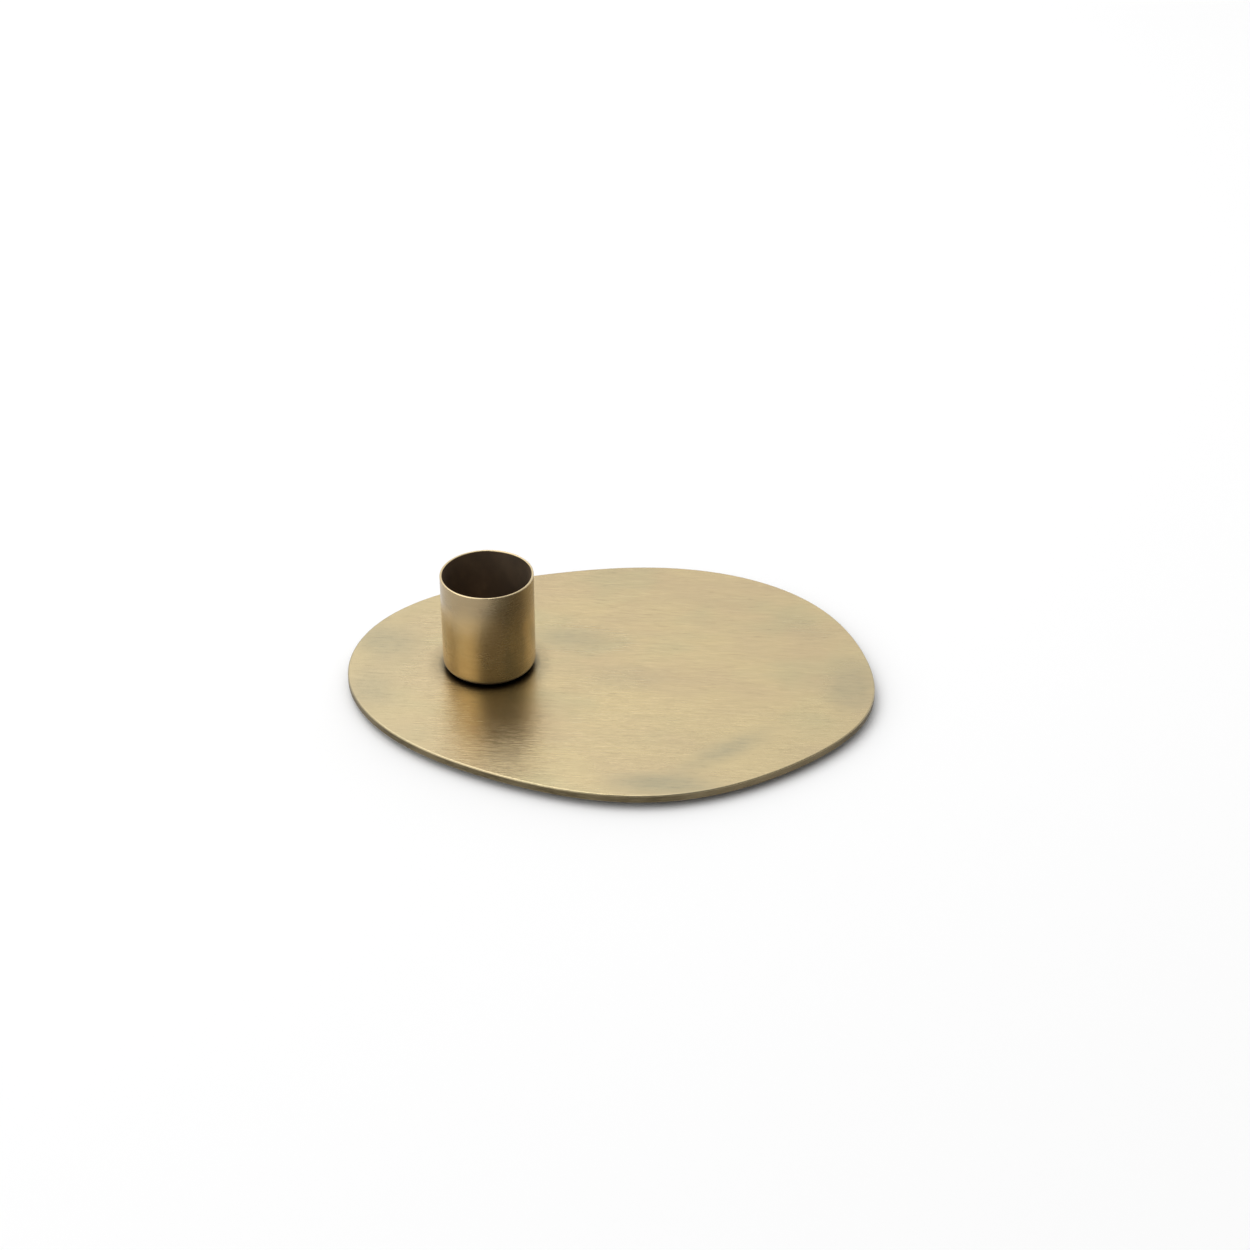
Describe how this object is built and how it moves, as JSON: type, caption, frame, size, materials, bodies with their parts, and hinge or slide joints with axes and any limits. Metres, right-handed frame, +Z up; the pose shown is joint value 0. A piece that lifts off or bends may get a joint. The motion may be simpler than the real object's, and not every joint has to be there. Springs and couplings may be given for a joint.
{
  "type": "candle holder",
  "caption": "Low holder for a dinner candle: a small cylindrical brass cup standing off-centre on a flat pebble-shaped brass drip plate.",
  "frame": {"origin": "under the middle of the plate's length and width, on the surface that the foot pads stand on", "axes": "+Z up, +X along the plate's length away from the cup's end, +Y across the plate, away from the viewer of the front"},
  "size_m": [0.136, 0.1054, 0.0305],
  "materials": {
    "plate_brass": "satin brushed antique brass, grain along the plate's length",
    "cup_brass": "satin antique brass, darker inside the cup",
    "fastener_steel": "bright zinc-plated steel",
    "pad_rubber": "matt black solid rubber"
  },
  "bodies": {
    "root": {"base_plate": "plate_brass", "candle_cup": "cup_brass", "cup_screw": "fastener_steel", "cup_washer": "fastener_steel", "cup_nut": "fastener_steel", "foot_pad_1": "pad_rubber", "foot_pad_2": "pad_rubber", "foot_pad_3": "pad_rubber", "foot_pad_4": "pad_rubber"}
  },
  "joints": []
}
